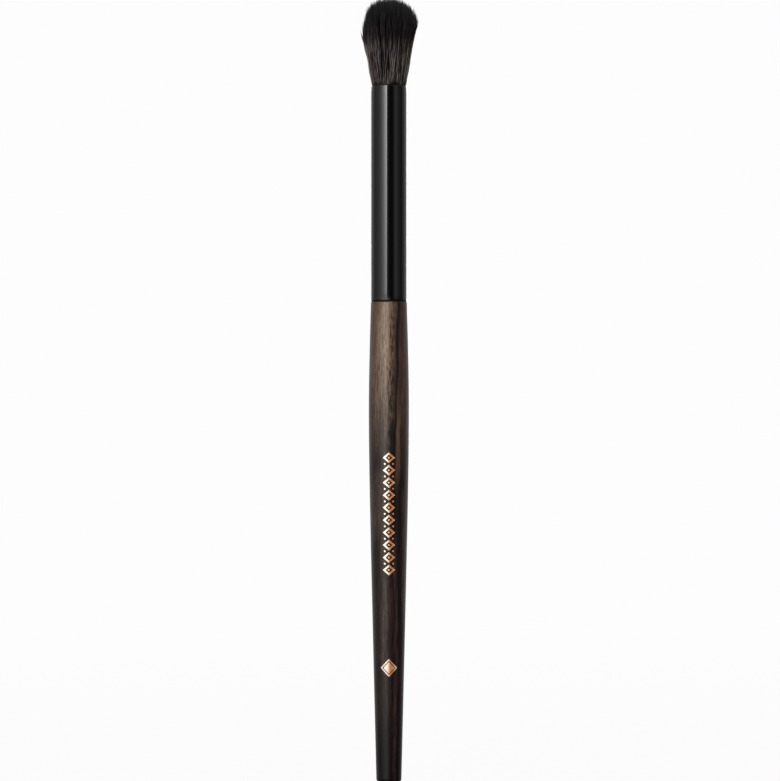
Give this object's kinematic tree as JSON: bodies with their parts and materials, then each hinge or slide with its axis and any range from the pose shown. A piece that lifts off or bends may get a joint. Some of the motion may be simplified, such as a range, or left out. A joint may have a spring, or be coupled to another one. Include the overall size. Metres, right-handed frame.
{
  "type": "blending brush",
  "caption": "Eye make-up blending brush: slim turned wooden handle, gloss black ferrule and a flared, domed tuft of soft dark hair.",
  "frame": {"origin": "centre of the handle's flat end", "axes": "+Z along the brush from the handle's end to the tip of the hair; the brush is turned about Z, so X and Y are free, and -Y is the side that the picture shows"},
  "size_m": [0.0121, 0.0122, 0.175],
  "materials": {
    "lacquered_wood": "satin",
    "black_lacquer": "gloss",
    "dark_hair": "matte",
    "set_resin": "gloss",
    "waxed_thread": "matte",
    "white_glue": "satin",
    "copper_foil": "gloss"
  },
  "bodies": {
    "root": {"handle": "lacquered_wood", "tenon_glue": "white_glue", "ferrule": "black_lacquer", "root_plug": "set_resin", "root_binding": "waxed_thread", "hair_tuft": "dark_hair"}
  },
  "joints": []
}
